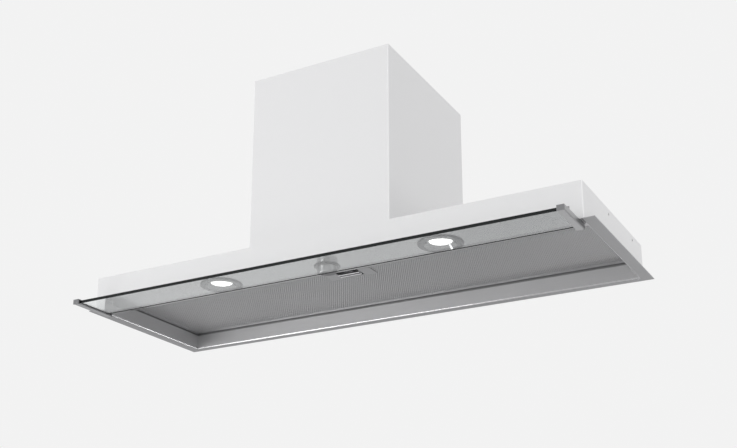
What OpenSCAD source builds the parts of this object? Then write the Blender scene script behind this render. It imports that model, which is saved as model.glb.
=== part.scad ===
// Built-in range hood with a pull-out glass visor, as it hangs under a wall cabinet.
// X runs to the viewer's right, Y to the rear and Z up. Lengths are in millimetres.
// The pieces are drawn from the front face (Y 0) and the underside of the flange (Z 0),
// and placed() moves them so that the origin is the seat on the rear strip of the flange.

/* [Flange and canopy] */
// Width over the flange, which is the class of the hood
flange_w = 900; // [760:10:1200]
// Depth over the flange, from the front face to its rear edge
flange_d = 299; // [290:1:330]
// How far the flange stands out past each side of the canopy
side_lip = 15; // [10:1:25]
// How far the flange stands out behind the canopy
rear_lip = 7; // [5:1:15]
// Height of the canopy's top above the underside of the flange
canopy_h = 57; // [54:1:80]
// Thickness of the sheet steel
sheet = 1; // [0.8:0.1:1.2]
// Inset of the cavity's side walls from the canopy's sides
skirt_side = 4.5; // [4:0.5:8]
// Inset of the cavity's rear wall from the canopy's rear
skirt_rear = 8; // [6:0.5:12]
// Width of the closed strip at each end of the front opening
end_strip = 20; // [12:1:30]

/* [Motor casing] */
// Width of the tall casing that holds the blower
casing_w = 256; // [240:1:320]
// Depth of the casing, flush with the canopy's rear
casing_d = 281; // [270:1:285]
// Height of the casing above the canopy
casing_h = 306; // [275:1:360]

/* [Lamp plate] */
// Height of the lamp plate's underside above the flange's underside
plate_z = 22; // [20:1:24]
// Depth of the lamp plate, from the front face to its rear edge
plate_d = 86.5; // [80:0.5:95]
// Distance between the centres of the two lamps
lamp_span = 400; // [280:10:600]
// Distance from the front face to the lamps' centres
lamp_y = 39; // [38:1:45]
// Diameter of a lamp's bezel
bezel_d = 70; // [60:1:72]
// Diameter of a lamp's lens
lens_d = 40; // [30:1:46]

/* [Knob] */
// Diameter of the control knob
knob_d = 32; // [28:1:40]
// Height of the control knob
knob_h = 12.2; // [11:0.2:14]
// Distance from the front face to the knob's axis
knob_y = 44; // [40:1:50]
// Diameter of the ring round the knob
ring_d = 42; // [38:1:50]
// Travel of the knob when it is pressed
knob_push = 1.5; // [1:0.1:1.6]

/* [Glass visor] */
// Thickness of the glass
glass_t = 5; // [4:0.5:5]
// Depth of the glass pane
glass_d = 71; // [66:1:82]
// How far the visor is pulled out in front of the front face
visor_out = 57; // [40:1:60]
// Width of a side bar of the visor
bar_w = 11; // [11:0.5:14]
// Height of a side bar of the visor
bar_h = 8; // [8:0.5:10]

/* [Grease filter] */
// Height of the filter's underside above the flange's underside
filter_z = 28.3; // [28:0.1:30]
// Thickness of the filter cassette
filter_t = 9.5; // [9:0.5:12]
// Gap between the filter and the walls round it
filter_gap = 1.5; // [1:0.1:2]
// Pitch of the folds in the filter's inner mesh
fold_pitch = 8; // [6:0.5:12]

/* [Blower] */
// Outer diameter of the blower wheel
wheel_d = 152; // [130:2:156]
// Width of the blower wheel
wheel_w = 100; // [80:1:104]
// Number of blades on the wheel
blade_count = 36; // [24:1:44]
// Growth of the scroll's radius from its tongue to its outlet
scroll_grow = 52; // [40:1:54]
// Width of the scroll housing
scroll_w = 115; // [112:1:130]
// Diameter of the motor
motor_d = 92; // [80:1:96]
// Length of the motor
motor_l = 66; // [50:1:70]
// Diameter of the motor shaft
shaft_d = 8; // [6:1:10]

/* [Air outlet] */
// Outer diameter of the collar that the duct slides over
duct_d = 150; // [120:1:150]
// Height of the collar above the casing
collar_h = 32; // [28:1:40]

/* [Hidden] */
$fn = 48;
cut = 1;                  // overrun of every cut
fit = 0.05;               // radial clearance of a running fit
gap = 0.3;                // clearance between pieces that slide or seat
shell_grey = [0.87, 0.87, 0.88];
steel = [0.62, 0.63, 0.64];
bright = [0.80, 0.80, 0.81];
dark = [0.25, 0.26, 0.27];
pale_plastic = [0.78, 0.79, 0.80];

// Canopy and the cavity under it
half_w = flange_w / 2 - side_lip;
body_d = flange_d - rear_lip;
seat_y = body_d + rear_lip / 2;
bend_r = 1.6;             // outer radius of a folded edge
seat_sink = 0.3;          // depth of the canopy's bed in the flange
cav_x = half_w - skirt_side;
cav_y = body_d - skirt_rear;
mouth_x = half_w - end_strip;
skirt_top = filter_z + filter_t + 2 * sheet;
roll_r = 1.8;             // radius of the rolled edge between flange and cavity
side_hole_r = 2.25;       // holes for the screws into the cabinet's sides
side_hole_pitch = 120;
side_hole_y = 180;
side_hole_z = (skirt_top + canopy_h) / 2;

// Corner posts that carry the visor's guides
post_w = 13.5;
post_d = 22;
post_x = cav_x - post_w;

// Motor casing
casing_y = body_d - casing_d;
casing_top = canopy_h + casing_h;
lid_z = casing_top - sheet; // underside of the casing's lid
foot = 11;                // width of the casing's inward flanges
foot_shares = [0.38, 0.5]; // places of the flanges' screws along their depth and their width

// Screws
screw_r = 1.7;            // radius of a screw's hole
head_r = 3.4;
head_h = 2;
screw_l = 4;              // length of a screw's shank in sheet
recess_l = 3.6;           // length of an arm of the cross recess in a screw's head
recess_w = 0.8;
recess_d = 0.9;

module placed() translate([0, -seat_y, -sheet]) children();
module block(lo, hi) translate(lo) cube(hi - lo);
module rod_x(x0, x1, r) translate([x0, 0, 0]) rotate([0, 90, 0]) cylinder(h = x1 - x0, r = r);
module rod_y(y0, y1, r) translate([0, y0, 0]) rotate([-90, 0, 0]) cylinder(h = y1 - y0, r = r);
module rod_z(z0, z1, r) translate([0, 0, z0]) cylinder(h = z1 - z0, r = r);
module both_sides() {
    children();
    mirror([1, 0, 0]) children();
}
module tube_z(z0, z1, r_out, r_in) difference() {
    rod_z(z0, z1, r_out);
    rod_z(z0 - cut, z1 + cut, r_in);
}

// Rectangle from lo to hi with rounded corners.
module soft_rect(lo, hi, r) {
    translate([lo[0] + r, lo[1]]) square([hi[0] - lo[0] - 2 * r, hi[1] - lo[1]]);
    translate([lo[0], lo[1] + r]) square([hi[0] - lo[0], hi[1] - lo[1] - 2 * r]);
    for (x = [lo[0] + r, hi[0] - r], y = [lo[1] + r, hi[1] - r]) translate([x, y]) circle(r);
}

// Block with rounded upright edges.
module soft_block(lo, hi, r) translate([0, 0, lo[2]]) linear_extrude(hi[2] - lo[2])
    soft_rect([lo[0], lo[1]], [hi[0], hi[1]], r);

// Pan-head screw with a cross recess along Z, its head's seat at height 0 and its shank below.
module screw(shank_l) difference() {
    union() {
        rod_z(-shank_l, fit, screw_r - fit);
        rotate_extrude() polygon([[0, 0], [head_r, 0], [head_r, head_h / 2], [head_r / 2, head_h],
            [0, head_h]]);
    }
    for (a = [0, 90]) rotate(a)
        block([-recess_l / 2, -recess_w / 2, head_h - recess_d], [recess_l / 2, recess_w / 2, head_h + cut]);
}

// Folded sheet canopy, open below and along the lower front.
module canopy_shell() color(shell_grey) placed() difference() {
    soft_block([-half_w, 0, sheet - seat_sink], [half_w, body_d, canopy_h], bend_r);
    soft_block([-half_w + sheet, sheet, -cut], [half_w - sheet, body_d - sheet, canopy_h - sheet],
        bend_r - sheet);
    block([-mouth_x, -cut, -cut], [mouth_x, sheet + cut, plate_z]);
    block([-casing_w / 2 + foot, casing_y + foot, canopy_h - sheet - cut],
        [casing_w / 2 - foot, body_d - foot, canopy_h + cut]);
    translate([0, 0, canopy_h]) casing_screw_places() rod_z(-sheet - cut, cut, screw_r);
    for (s = [-1, 1]) translate([0, side_hole_y + s * side_hole_pitch / 2, side_hole_z])
        rod_x(-half_w - cut, half_w + cut, side_hole_r);
}

// The eight places of the screws in each of the casing's two flanges.
module casing_screw_places() {
    across = casing_w / 2 - foot / 2;
    along = casing_d / 2 - foot / 2;
    translate([0, body_d - casing_d / 2, 0]) for (sx = [-1, 1], sy = [-1, 1]) {
        translate([sx * across, sy * along * foot_shares[0], 0]) children();
        translate([sx * across * foot_shares[1], sy * along, 0]) children();
    }
}

// Brushed steel flange with the cavity's upright walls and the two corner posts.
module trim_frame() color(steel) placed() difference() {
    union() {
        difference() {
            block([-flange_w / 2, 0, 0], [flange_w / 2, flange_d, sheet]);
            block([-cav_x, -cut, -cut], [cav_x, cav_y, sheet + cut]);
            block([-half_w - gap, -cut, sheet - seat_sink], [half_w + gap, body_d + gap, sheet + cut]);
        }
        both_sides() skirt_side_wall();
        block([-cav_x - sheet, cav_y, 0], [cav_x + sheet, cav_y + sheet, skirt_top]);
        block([-cav_x - sheet, cav_y, skirt_top - sheet], [cav_x + sheet, body_d - sheet - gap, skirt_top]);
        both_sides() corner_post();
        both_sides() plate_bracket();
    }
    both_sides() difference() {
        block([cav_x - cut, -cut, -cut], [cav_x + roll_r, cav_y, roll_r]);
        translate([cav_x + roll_r, 0, roll_r]) rod_y(-2 * cut, cav_y + cut, roll_r);
        block([cav_x - 2 * cut, -2 * cut, -2 * cut], [cav_x, post_d, 2 * roll_r]);
    }
    difference() {
        block([-cav_x, cav_y - cut, -cut], [cav_x, cav_y + roll_r, roll_r]);
        translate([0, cav_y + roll_r, roll_r]) rod_x(-cav_x - cut, cav_x + cut, roll_r);
    }
    both_sides() translate([0, hinge_y, hinge_z]) rod_x(cav_x - cut, cav_x + sheet + cut, pin_r + fit);
}

module skirt_side_wall() {
    block([cav_x, sheet, 0], [cav_x + sheet, cav_y + sheet, skirt_top]);
    block([cav_x, sheet, skirt_top - sheet], [half_w - sheet - gap, cav_y + sheet, skirt_top]);
}

// Square tube behind the end strip. The guide shoe closes its foot.
module corner_post() difference() {
    block([post_x, sheet, 0], [cav_x + sheet / 2, post_d, plate_z]);
    block([post_x + sheet, 2 * sheet, -cut], [cav_x - sheet, post_d - sheet, plate_z + cut]);
}

// Tab on the cavity wall that the lamp plate is screwed to.
tab_r = 5;
plate_screw_x = cav_x - tab_r - sheet;
plate_screw_y = post_d + tab_r;
module plate_bracket() difference() {
    block([plate_screw_x - tab_r, plate_screw_y - tab_r, plate_z + sheet],
        [cav_x + sheet / 2, plate_screw_y + tab_r, plate_z + 2 * sheet]);
    translate([plate_screw_x, plate_screw_y, 0]) rod_z(plate_z, plate_z + 3 * sheet, screw_r);
}

// Plate under the front of the canopy that holds the lamps and the knob.
bezel_lip = 4;            // overlap of the bezel on the plate
lamp_hole_r = bezel_d / 2 - bezel_lip;
knob_hole_r = 5;
front_lip = 10;           // height of the plate's folded front
tongue_w = 16;            // width of the latch's tongue
tongue_up = 2.2;          // height of the tongue above the filter's underside
tongue_z = filter_z + tongue_up;
tongue_t = 3.5;
module lamp_plate() {
    end_x = cav_x - gap / 3;
    back_top = canopy_h - sheet - gap;
    color(steel) placed() difference() {
        union() {
            block([-end_x, sheet + gap, plate_z], [end_x, plate_d, plate_z + sheet]);
            block([-end_x, plate_d - sheet, plate_z], [end_x, plate_d, back_top]);
            block([-mouth_x, sheet + gap, plate_z], [mouth_x, 2 * sheet + gap, plate_z + front_lip]);
        }
        translate([0, 0, plate_z]) {
            both_sides() translate([lamp_span / 2, lamp_y, 0]) rod_z(-cut, sheet + cut, lamp_hole_r);
            translate([0, knob_y, 0]) rod_z(-cut, sheet + cut, knob_hole_r);
            both_sides() translate([plate_screw_x, plate_screw_y, 0]) rod_z(-cut, sheet + cut, screw_r);
        }
        block([-tongue_w / 2 - 2 * gap, plate_d - sheet - cut, tongue_z - 2 * gap],
            [tongue_w / 2 + 2 * gap, plate_d + cut, tongue_z + tongue_t + 2 * gap]);
    }
}

module plate_screws() color(bright) placed() both_sides()
    translate([plate_screw_x, plate_screw_y, plate_z]) mirror([0, 0, 1]) screw(screw_l);

// Tall folded casing, open below and above, with an inward flange at its foot and one under its lid.
outlet_in = 12;           // from the casing's rear to the collar
collar_wall = 3.5;
outlet_y = body_d - duct_d / 2 - outlet_in;
outlet_r = duct_d / 2 - collar_wall;
gland_in = 25;            // from the casing's left side to the gland's axis
gland_back = 55;          // from the casing's front to the gland's axis
gland_x = -casing_w / 2 + gland_in;
gland_y = casing_y + gland_back;
gland_r = 6;
module motor_casing() color(shell_grey) placed() difference() {
    soft_block([-casing_w / 2, casing_y, canopy_h], [casing_w / 2, body_d, lid_z], bend_r);
    soft_block([-casing_w / 2 + sheet, casing_y + sheet, canopy_h + sheet],
        [casing_w / 2 - sheet, body_d - sheet, lid_z - sheet], bend_r - sheet);
    block([-casing_w / 2 + foot, casing_y + foot, canopy_h - cut],
        [casing_w / 2 - foot, body_d - foot, lid_z + cut]);
    translate([0, 0, canopy_h]) casing_screw_places() rod_z(-cut, sheet + cut, screw_r);
    translate([0, 0, lid_z]) casing_screw_places() rod_z(-sheet - cut, cut, screw_r);
}
module casing_lid() color(shell_grey) placed() difference() {
    soft_block([-casing_w / 2, casing_y, lid_z], [casing_w / 2, body_d, casing_top], bend_r);
    translate([0, outlet_y, 0]) rod_z(lid_z - cut, casing_top + cut, outlet_r + gap);
    translate([gland_x, gland_y, 0]) rod_z(lid_z - cut, casing_top + cut, gland_r + fit);
    collar_screw_places() rod_z(lid_z - cut, casing_top + cut, screw_r);
    casing_screw_places() rod_z(lid_z - cut, casing_top + cut, screw_r);
}

module casing_screws() color(bright) placed() for (z = [canopy_h + sheet, casing_top])
    translate([0, 0, z]) casing_screw_places() screw(screw_l);

// Outlet collar with its damper
base_lip = 5;             // how far the collar's base stands out
collar_base_r = duct_d / 2 + base_lip;
collar_base_t = 2;
collar_skin = 1.8;        // wall left outside the spindle's ends
ear_r = 6;
ear_out = 8;              // from the duct's radius to an ear's centre
ear_reach = duct_d / 2 + ear_out;
top_flange_out = 12;      // width of the scroll's top flange beside its outlet
ear_a = acos((scroll_w / 2 + top_flange_out / 2) / ear_reach);
damper_z = casing_top + collar_h / 2;
spindle_r = 2;
flap_play = 0.8;
flap_r = outlet_r - flap_play;
flap_t = 1.6;
barrel_r = 3.4;
barrel_play = 1;
seat_w = 3.5;             // width of the lip that the closed flaps rest on
collar_screw_l = 6;
module collar_screw_places() translate([0, outlet_y, 0]) for (a = [ear_a, 180 - ear_a, 180 + ear_a, -ear_a])
    rotate(a) translate([ear_reach, 0, 0]) children();

module outlet_collar() color(dark) placed() difference() {
    union() {
        translate([0, outlet_y, 0]) {
            tube_z(casing_top, casing_top + collar_h, duct_d / 2, outlet_r);
            tube_z(casing_top, casing_top + collar_base_t, collar_base_r, outlet_r);
            tube_z(damper_z - flap_t / 2 - gap - collar_base_t, damper_z - flap_t / 2 - gap,
                outlet_r + collar_wall / 2, outlet_r - seat_w);
        }
        collar_screw_places() difference() {
            rod_z(casing_top, casing_top + collar_base_t, ear_r);
            translate([-ear_reach, 0, 0]) rod_z(casing_top - cut, casing_top + collar_h, duct_d / 2);
        }
    }
    collar_screw_places() rod_z(casing_top - cut, casing_top + collar_base_t + cut, screw_r);
    translate([0, outlet_y, damper_z]) {
        rod_x(-duct_d / 2 + collar_skin, duct_d / 2 - collar_skin, spindle_r + fit);
        both_sides() seat_notch();
    }
}

// Room in the lip for the flaps' barrels beside the wall.
module seat_notch() block([outlet_r - seat_w - cut, -barrel_r - barrel_play, -barrel_r - collar_base_t],
    [outlet_r, barrel_r + barrel_play, -flap_t / 2]);

module collar_screws() color(bright) placed() translate([0, 0, casing_top + collar_base_t])
    collar_screw_places() screw(collar_screw_l);

module damper_spindle() color(bright) placed() translate([0, outlet_y, damper_z])
    rod_x(-duct_d / 2 + collar_skin + fit, duct_d / 2 - collar_skin - fit, spindle_r);

// One half-round flap with two barrels on the spindle. Flipped, it is the other one.
barrel_l = 22;
barrel_shares = [-0.8, 0.2];
module damper_flap() difference() {
    union() {
        difference() {
            rod_z(-flap_t / 2, flap_t / 2, flap_r);
            block([-flap_r - cut, -flap_t, -flap_t], [flap_r + cut, flap_r + cut, flap_t]);
            other_barrels(flap_t, cut);
        }
        for (k = barrel_shares) translate([k * flap_r, 0, 0]) {
            rod_x(0, barrel_l, barrel_r);
            block([0, -2 * barrel_r, -flap_t / 2], [barrel_l, 0, flap_t / 2]);
        }
    }
    rod_x(-flap_r, flap_r, spindle_r + fit);
    other_barrels(barrel_r, barrel_r + cut);
}
module other_barrels(half_h, front) for (k = barrel_shares)
    block([-k * flap_r - barrel_l - barrel_play, -barrel_r - barrel_play, -half_h],
        [-k * flap_r + barrel_play, front, half_h]);
module damper_flap_front() color(dark) placed() translate([0, outlet_y, damper_z]) damper_flap();
module damper_flap_rear() color(dark) placed() translate([0, outlet_y, damper_z]) rotate(180) damper_flap();

// Blower: its axis runs along X
wheel_shares = [0.415, 0.475]; // place of the wheel's axis in the casing's depth and height
wheel_y = casing_y + wheel_shares[0] * casing_d;
wheel_z = canopy_h + wheel_shares[1] * casing_h;
wheel_r = wheel_d / 2;
scroll_wall = 2;
wheel_room = 6;           // radial gap between wheel and scroll at the tongue
scroll_r = wheel_r + wheel_room;
tongue_a = 70;            // angle of the scroll's tongue, in degrees
tongue_y = scroll_r * cos(tongue_a);
outlet_end = scroll_r + scroll_grow;
scroll_top = lid_z - wheel_z;
blade_d = 12.2;           // radial depth of a blade
wheel_rim = 0.5;          // rim outside the blades
throat_r = wheel_r - blade_d - wheel_rim; // inner radius of the inlet's throat
bell_r = 6.5;             // radius of the curve of the inlet's mouth
eye_r = throat_r + bell_r;
mouth_ease = 0.1;         // gap between the mouth's curve and the side plate's edge
lug_r = 6;
lug_angles = [100, 155, 215, 275, 330];
top_flange_t = 3;
top_flange_w = 16;
module at_wheel() translate([0, wheel_y, wheel_z]) children();
module along_x() rotate([90, 0, 90]) children();
function scroll_radius(a) = scroll_r + scroll_grow * (a - tongue_a) / (360 - tongue_a);
function scroll_line(wall) = let (
    start = acos((tongue_y - wall) / (scroll_r + wall)),
    steps = 56,
    top = scroll_top - (wall > 0 ? 0 : -cut))
    [each [for (i = [0:steps]) let (a = start + (360 - start) * i / steps)
        (scroll_radius(a) + wall) * [cos(a), sin(a)]],
     [outlet_end + wall, top], [tongue_y - wall, top]];
module lug_places() for (a = lug_angles) let (r = scroll_radius(a) + scroll_wall + lug_r * 2 / 3)
    translate([0, r * cos(a), r * sin(a)]) children();

// Right half of the scroll housing: half the band, a side plate and the inlet's mouth.
module scroll_half() at_wheel() difference() {
    union() {
        difference() {
            union() {
                along_x() linear_extrude(scroll_w / 2) polygon(scroll_line(scroll_wall));
                lug_places() rod_x(0, lug_r, lug_r);
                block([0, tongue_y - top_flange_w, scroll_top - top_flange_t],
                    [scroll_w / 2 + top_flange_out, outlet_end + top_flange_out, scroll_top]);
            }
            translate([-cut, 0, 0]) along_x() linear_extrude(scroll_w / 2 - scroll_wall + cut)
                polygon(scroll_line(0));
            rod_x(0, scroll_w, eye_r);
        }
        translate([scroll_w / 2 - bell_r, 0, 0]) rotate([0, 90, 0]) rotate_extrude()
            translate([eye_r + mouth_ease, 0]) intersection() {
                difference() {
                    circle(bell_r);
                    circle(bell_r - scroll_wall);
                }
                translate([-bell_r, 0]) square(bell_r);
            }
    }
    lug_places() rod_x(-cut, lug_r + cut, screw_r);
    translate([0, -wheel_y, -wheel_z]) collar_screw_places()
        rod_z(casing_top - 3 * top_flange_t, casing_top, screw_r);
    bracket_screw_places() rod_x(scroll_w / 2 - scroll_wall - cut, scroll_w / 2 + cut, screw_r);
}
module scroll_right() color(pale_plastic) placed() scroll_half();
module scroll_left() color(pale_plastic) placed() mirror([1, 0, 0]) scroll_half();
module scroll_screws() color(bright) placed() at_wheel() lug_places() translate([lug_r, 0, 0])
    rotate([0, 90, 0]) screw(lug_r * 11 / 6);

// Wheel with forward-curved blades, open at both ends, with its hub on the middle disc.
blade_out = wheel_r - wheel_rim;
blade_in = blade_out - blade_d;
blade_t = 1.2;
blade_lean = 9;           // how far the blade's tip leads its root, in degrees
hub_r = 12;
hub_l = 24;
blade_steps = 5;
function blade_point(k, side) = let (
    r = blade_in + (blade_out - blade_in) * k,
    a = blade_lean * k * k + side * blade_t / r * 90 / PI)
    r * [cos(a), sin(a)];
module impeller() color(dark) placed() at_wheel() rotate([0, 90, 0]) difference() {
    union() {
        for (i = [0:blade_count - 1]) rotate(i * 360 / blade_count)
            translate([0, 0, -wheel_w / 2 + sheet / 2]) linear_extrude(wheel_w - sheet) polygon([
                for (k = [0:blade_steps]) blade_point(k / blade_steps, 1),
                for (k = [blade_steps:-1:0]) blade_point(k / blade_steps, -1)]);
        for (s = [-1, 1]) translate([0, 0, s * (wheel_w / 2 - sheet)])
            tube_z(-sheet, sheet, wheel_r, blade_in - wheel_rim);
        rod_z(-sheet, sheet, wheel_r);
        rod_z(-hub_l / 2, hub_l / 2, hub_r);
    }
    rod_z(-hub_l, hub_l, shaft_d / 2 + fit);
    for (a = [0:60:300]) rotate(a) translate([(hub_r + blade_in) / 2, 0, 0]) rod_z(-hub_l, hub_l, hub_r);
}

// Motor, half inside the wheel's right eye
motor_off = 8;            // gap between hub and motor
motor_x = hub_l / 2 + motor_off;
motor_step = 5;
bearing_r = 11;
bearing_w = 8;
shaft_out = [4, 6];       // how far the shaft stands out past the hub and the motor
grommet_l = 3.5;
bracket_x = scroll_w / 2 + grommet_l;
bracket_t = 2;
bracket_ring = 3;
arm_out = 14;             // from the inlet's mouth to an arm's screw
arm_reach = eye_r + arm_out;
arm_w = 14;
arm_angles = [45, 135, 225, 315];
module motor_housing() color(bright) placed() at_wheel() rotate([0, 90, 0]) difference() {
    rotate_extrude() polygon([[0, motor_x], [motor_d / 2 - motor_step, motor_x],
        [motor_d / 2, motor_x + motor_step], [motor_d / 2, motor_x + motor_l - motor_step],
        [motor_d / 2 - motor_step, motor_x + motor_l], [0, motor_x + motor_l]]);
    rod_z(motor_x - cut, motor_x + motor_l + cut, shaft_d);
    rod_z(motor_x - cut, motor_x + bearing_w, bearing_r);
    rod_z(motor_x + motor_l - bearing_w, motor_x + motor_l + cut, bearing_r);
    for (a = [0:45:315], z = [motor_x - cut, motor_x + motor_l - motor_step])
        rotate(a) translate([motor_d / 2 - 2 * motor_step, 0, z]) rod_z(0, motor_step + cut, motor_step / 2);
}
module motor_bearings() color(steel) placed() at_wheel() rotate([0, 90, 0])
    for (z = [motor_x, motor_x + motor_l - bearing_w])
        tube_z(z, z + bearing_w, bearing_r - fit, shaft_d / 2 + fit);
module motor_shaft() color(bright) placed() at_wheel()
    rod_x(-hub_l / 2 - shaft_out[0], motor_x + motor_l + shaft_out[1], shaft_d / 2);

module bracket_screw_places() for (a = arm_angles)
    translate([0, arm_reach * cos(a), arm_reach * sin(a)]) children();
module motor_bracket() color(steel) placed() at_wheel() difference() {
    rotate([0, 90, 0]) union() {
        tube_z(bracket_x, bracket_x + 3 * bracket_t, motor_d / 2 + bracket_ring, motor_d / 2 + fit);
        for (a = arm_angles) rotate(a) difference() {
            union() {
                block([motor_d / 2 + bracket_ring / 2, -arm_w / 2, bracket_x],
                    [arm_reach, arm_w / 2, bracket_x + bracket_t]);
                translate([arm_reach, 0, 0]) rod_z(bracket_x, bracket_x + bracket_t, arm_w / 2);
            }
            translate([(motor_d / 2 + arm_reach) / 2, 0, 0])
                rod_z(bracket_x - cut, bracket_x + bracket_t + cut, arm_w / 4);
        }
    }
    bracket_screw_places() rod_x(bracket_x - cut, bracket_x + bracket_t + cut, screw_r);
}
module bracket_grommets() color(dark) placed() at_wheel() bracket_screw_places() difference() {
    rod_x(scroll_w / 2, bracket_x, lug_r);
    rod_x(scroll_w / 2 - cut, bracket_x + cut, screw_r);
}
module bracket_screws() color(bright) placed() at_wheel() bracket_screw_places()
    translate([bracket_x + bracket_t, 0, 0]) rotate([0, 90, 0])
        screw(grommet_l + bracket_t + scroll_wall - gap);

// Running capacitor, clipped to the casing's left wall
can_r = 17.5;
can_l = 60;
can_off = 3;              // gap between the can and the wall
can_back = 55;            // from the casing's front to the can's axis
can_up = 50;              // from the canopy's top to the can's foot
can_x = -casing_w / 2 + sheet + can_r + can_off;
can_y = casing_y + can_back;
can_z = canopy_h + can_up;
can_bead = 2;
clip_t = 1.2;
clip_h = 12;
module capacitor() color(bright) placed() translate([can_x, can_y, can_z]) {
    rotate_extrude() polygon([[0, 0], [can_r - can_bead, 0], [can_r, can_bead],
        [can_r, can_l - 2 * can_bead], [can_r - can_bead, can_l - can_bead],
        [can_r - can_bead, can_l], [0, can_l]]);
    for (s = [-1, 1]) translate([0, s * can_r / 3, 0])
        block([-clip_h / 4, -clip_t / 2, can_l - clip_t], [clip_h / 4, clip_t / 2, can_l + clip_h / 2]);
}
module capacitor_clip() color(steel) placed() translate([can_x, can_y, can_z + can_l / 3]) {
    wall_x = -casing_w / 2 + sheet - can_x;
    difference() {
        union() {
            rod_z(0, clip_h, can_r + fit + clip_t);
            block([wall_x, -clip_h, 0], [wall_x + clip_t, clip_h, clip_h]);
            block([wall_x, -clip_h / 2, 0], [-can_r + clip_t, clip_h / 2, clip_h]);
        }
        rod_z(-cut, clip_h + cut, can_r + fit);
        block([can_r / 2, -clip_h / 2, -cut], [2 * can_r, clip_h / 2, clip_h + cut]);
    }
}

// Terminal box on the casing's left wall, under the cable gland
tbox_w = 80;
tbox_h = 60;
tbox_d = 28;
tbox_drop = 35;           // from the casing's top to the box
tbox_wall = 2;
tbox_x0 = -casing_w / 2 + sheet;
tbox_x1 = tbox_x0 + tbox_d;
tbox_y0 = gland_y - tbox_w / 2;
tbox_y1 = gland_y + tbox_w / 2;
tbox_z1 = casing_top - tbox_drop;
tbox_z0 = tbox_z1 - tbox_h;
module terminal_box() color(dark) placed() difference() {
    block([tbox_x0, tbox_y0, tbox_z0], [tbox_x1, tbox_y1, tbox_z1]);
    block([tbox_x0 + tbox_wall, tbox_y0 + tbox_wall, tbox_z0 + tbox_wall],
        [tbox_x1 + cut, tbox_y1 - tbox_wall, tbox_z1 - tbox_wall]);
    translate([tbox_x0 + tbox_d / 2, gland_y, 0]) rod_z(tbox_z1 - tbox_wall - cut, tbox_z1 + cut, gland_r);
}
module terminal_lid() color(dark) placed() {
    block([tbox_x1, tbox_y0, tbox_z0], [tbox_x1 + tbox_wall, tbox_y1, tbox_z1]);
    block([tbox_x1 - tbox_wall, tbox_y0 + tbox_wall + gap, tbox_z0 + tbox_wall + gap],
        [tbox_x1, tbox_y1 - tbox_wall - gap, tbox_z1 - tbox_wall - gap]);
}
module terminal_strip() color(pale_plastic) placed() {
    pole = 10;
    poles = 5;
    rib = 1;
    y0 = gland_y - pole * poles / 2;
    mid_z = (tbox_z0 + tbox_z1) / 2;
    x0 = tbox_x0 + tbox_wall;
    difference() {
        union() {
            block([x0, y0, mid_z - pole], [x0 + pole / 2, y0 + pole * poles, mid_z + pole]);
            for (i = [0:poles - 1]) block([x0, y0 + i * pole + rib, mid_z - pole * 0.8],
                [x0 + pole * 1.4, y0 + (i + 1) * pole - rib, mid_z + pole * 0.8]);
        }
        for (i = [0:poles - 1], s = [-1, 1])
            translate([0, y0 + (i + 0.5) * pole, mid_z + s * pole * 0.4])
                rod_x(x0 + pole, x0 + pole * 1.4 + cut, pole / 4);
    }
}

// Gland for the mains lead, through the casing's top
gland_bore = 4;
gland_hex_r = 9.5;
gland_hex_t = 4;
gland_dome = 10;
gland_step = 1.5;
gland_thread = 6;
module cable_gland() color(dark) placed() translate([gland_x, gland_y, casing_top]) difference() {
    dome_r = gland_hex_r - gland_step;
    union() {
        rod_z(-sheet - gland_thread, 0, gland_r);
        cylinder(h = gland_hex_t, r = gland_hex_r, $fn = 6);
        rotate_extrude() polygon([[0, gland_hex_t / 2], [dome_r, gland_hex_t / 2],
            [dome_r, gland_hex_t + gland_dome / 2], [gland_r, gland_hex_t + gland_dome],
            [0, gland_hex_t + gland_dome]]);
    }
    rod_z(-2 * gland_dome, 2 * gland_dome, gland_bore);
}
module gland_nut() color(dark) placed() translate([gland_x, gland_y, lid_z]) difference() {
    translate([0, 0, -gland_hex_t]) cylinder(h = gland_hex_t, r = gland_hex_r, $fn = 6);
    rod_z(-gland_hex_t - cut, cut, gland_r + fit);
}

// Lamps: bezel under the plate with a funnel up to its lens, finned body above, spring clips
bezel_t = 2;
bezel_up = 9;
bezel_wall = 1.5;
bezel_edge = 1;
lens_r = lens_d / 2;
lens_z = 4;               // from the plate's underside up to the lens
lens_dome = 0.8;
funnel_out = 5.5;         // how much wider the funnel's mouth is than the lens
lens_lip = 3;
lens_t = 1.5;
lens_steps = 6;
body_play = 3;            // gap between the lamp's body and its hole
body_r = lamp_hole_r - body_play;
body_base = 5;
body_l = 24;
fin_count = 16;
fin_t = 1.2;
spring_w = 9;
spring_t = 0.8;
clip_rise = 3;
clip_reach = 13;
clip_sole = 4;
module lamp_place(s) translate([s * lamp_span / 2, lamp_y, plate_z]) children();
module lamp_bezel(s) color(steel) placed() lamp_place(s) rotate_extrude() polygon([
    [lens_r + gap, lens_z], [lens_r + funnel_out, -bezel_t],
    [bezel_d / 2 - bezel_edge, -bezel_t], [bezel_d / 2, -bezel_t + bezel_edge], [bezel_d / 2, 0],
    [lamp_hole_r - gap, 0],
    [lamp_hole_r - gap, bezel_up], [lamp_hole_r - bezel_wall, bezel_up],
    [lamp_hole_r - bezel_wall, lens_z]]);
module lamp_bezel_left() lamp_bezel(-1);
module lamp_bezel_right() lamp_bezel(1);
module lamp_lens(s) color([0.97, 0.97, 0.94]) placed() lamp_place(s) rotate_extrude() polygon([
    for (k = [0:lens_steps]) let (u = k / lens_steps) [lens_r * u, lens_z - lens_dome * (1 - u * u)],
    [lens_r + lens_lip, lens_z], [lens_r + lens_lip, lens_z + lens_t], [0, lens_z + lens_t]]);
module lamp_lens_left() lamp_lens(-1);
module lamp_lens_right() lamp_lens(1);
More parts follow.
